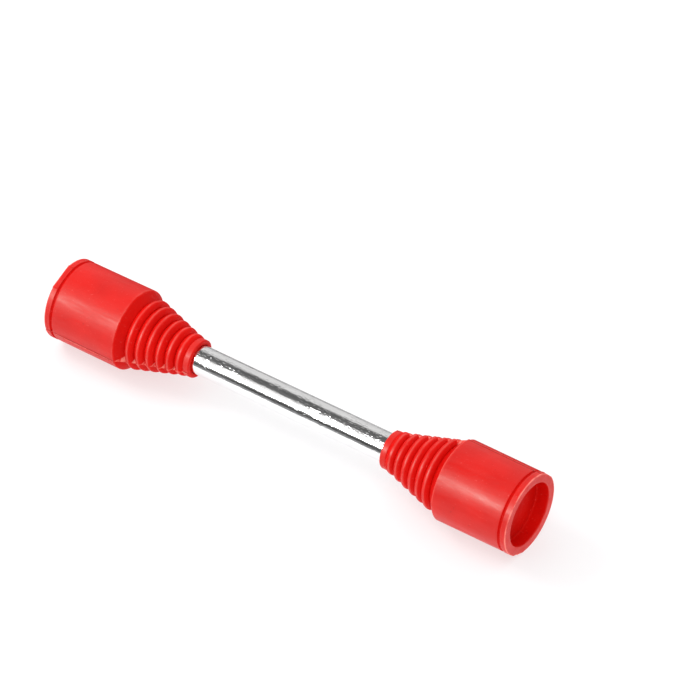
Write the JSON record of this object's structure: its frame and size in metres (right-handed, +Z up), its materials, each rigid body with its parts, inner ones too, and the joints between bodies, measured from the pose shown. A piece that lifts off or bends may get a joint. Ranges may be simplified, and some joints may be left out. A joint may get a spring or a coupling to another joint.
{
  "type": "double-ended link rod with flexible boots",
  "caption": "Short chrome link tube with a red rubber boot on each end: a tapering bellows neck that flexes and a round cup with a shallow socket in its mouth.",
  "frame": {"origin": "middle of the chrome tube, on the rod's axis", "axes": "+X along the rod towards the right cup's mouth, +Z up, lying on the two cups"},
  "size_m": [0.29, 0.0448, 0.0448],
  "materials": {
    "chrome": "polished",
    "red_rubber": "satin moulded",
    "plug_plastic": "matte"
  },
  "bodies": {
    "rod": {"chrome_tube": "chrome", "left_tube_plug": "plug_plastic", "right_tube_plug": "plug_plastic", "left_neck": "red_rubber", "right_neck": "red_rubber"},
    "left_bellows_back": {"left_bellows_inner": "red_rubber"},
    "left_bellows_front": {"left_bellows_middle": "red_rubber"},
    "left_boot_cup": {"left_bellows_outer": "red_rubber", "left_cup": "red_rubber"},
    "right_bellows_back": {"right_bellows_inner": "red_rubber"},
    "right_bellows_front": {"right_bellows_middle": "red_rubber"},
    "right_boot_cup": {"right_bellows_outer": "red_rubber", "right_cup": "red_rubber"}
  },
  "joints": [
    {"name": "left_swing", "type": "hinge", "parent": "rod", "child": "left_bellows_back", "pos_m": [-0.07467, 0, 0], "axis": [0, 0, 1], "range_deg": [-15, 15], "stiffness_Nm_per_rad": 1, "deforming": ["left_bellows_inner"]},
    {"name": "left_nod", "type": "hinge", "parent": "left_bellows_back", "child": "left_bellows_front", "pos_m": [-0.08533, 0, 0], "axis": [0, 1, 0], "range_deg": [-15, 15], "stiffness_Nm_per_rad": 1, "deforming": ["left_bellows_middle"]},
    {"name": "left_squeeze", "type": "slide", "parent": "left_bellows_front", "child": "left_boot_cup", "axis": [-1, 0, 0], "range_m": [-0.002, 0.0015], "stiffness_N_per_m": 3000, "deforming": ["left_bellows_outer"]},
    {"name": "right_swing", "type": "hinge", "parent": "rod", "child": "right_bellows_back", "pos_m": [0.07467, 0, 0], "axis": [0, 0, 1], "range_deg": [-15, 15], "stiffness_Nm_per_rad": 1, "deforming": ["right_bellows_inner"]},
    {"name": "right_nod", "type": "hinge", "parent": "right_bellows_back", "child": "right_bellows_front", "pos_m": [0.08533, 0, 0], "axis": [0, 1, 0], "range_deg": [-15, 15], "stiffness_Nm_per_rad": 1, "deforming": ["right_bellows_middle"]},
    {"name": "right_squeeze", "type": "slide", "parent": "right_bellows_front", "child": "right_boot_cup", "axis": [1, 0, 0], "range_m": [-0.002, 0.0015], "stiffness_N_per_m": 3000, "deforming": ["right_bellows_outer"]}
  ]
}
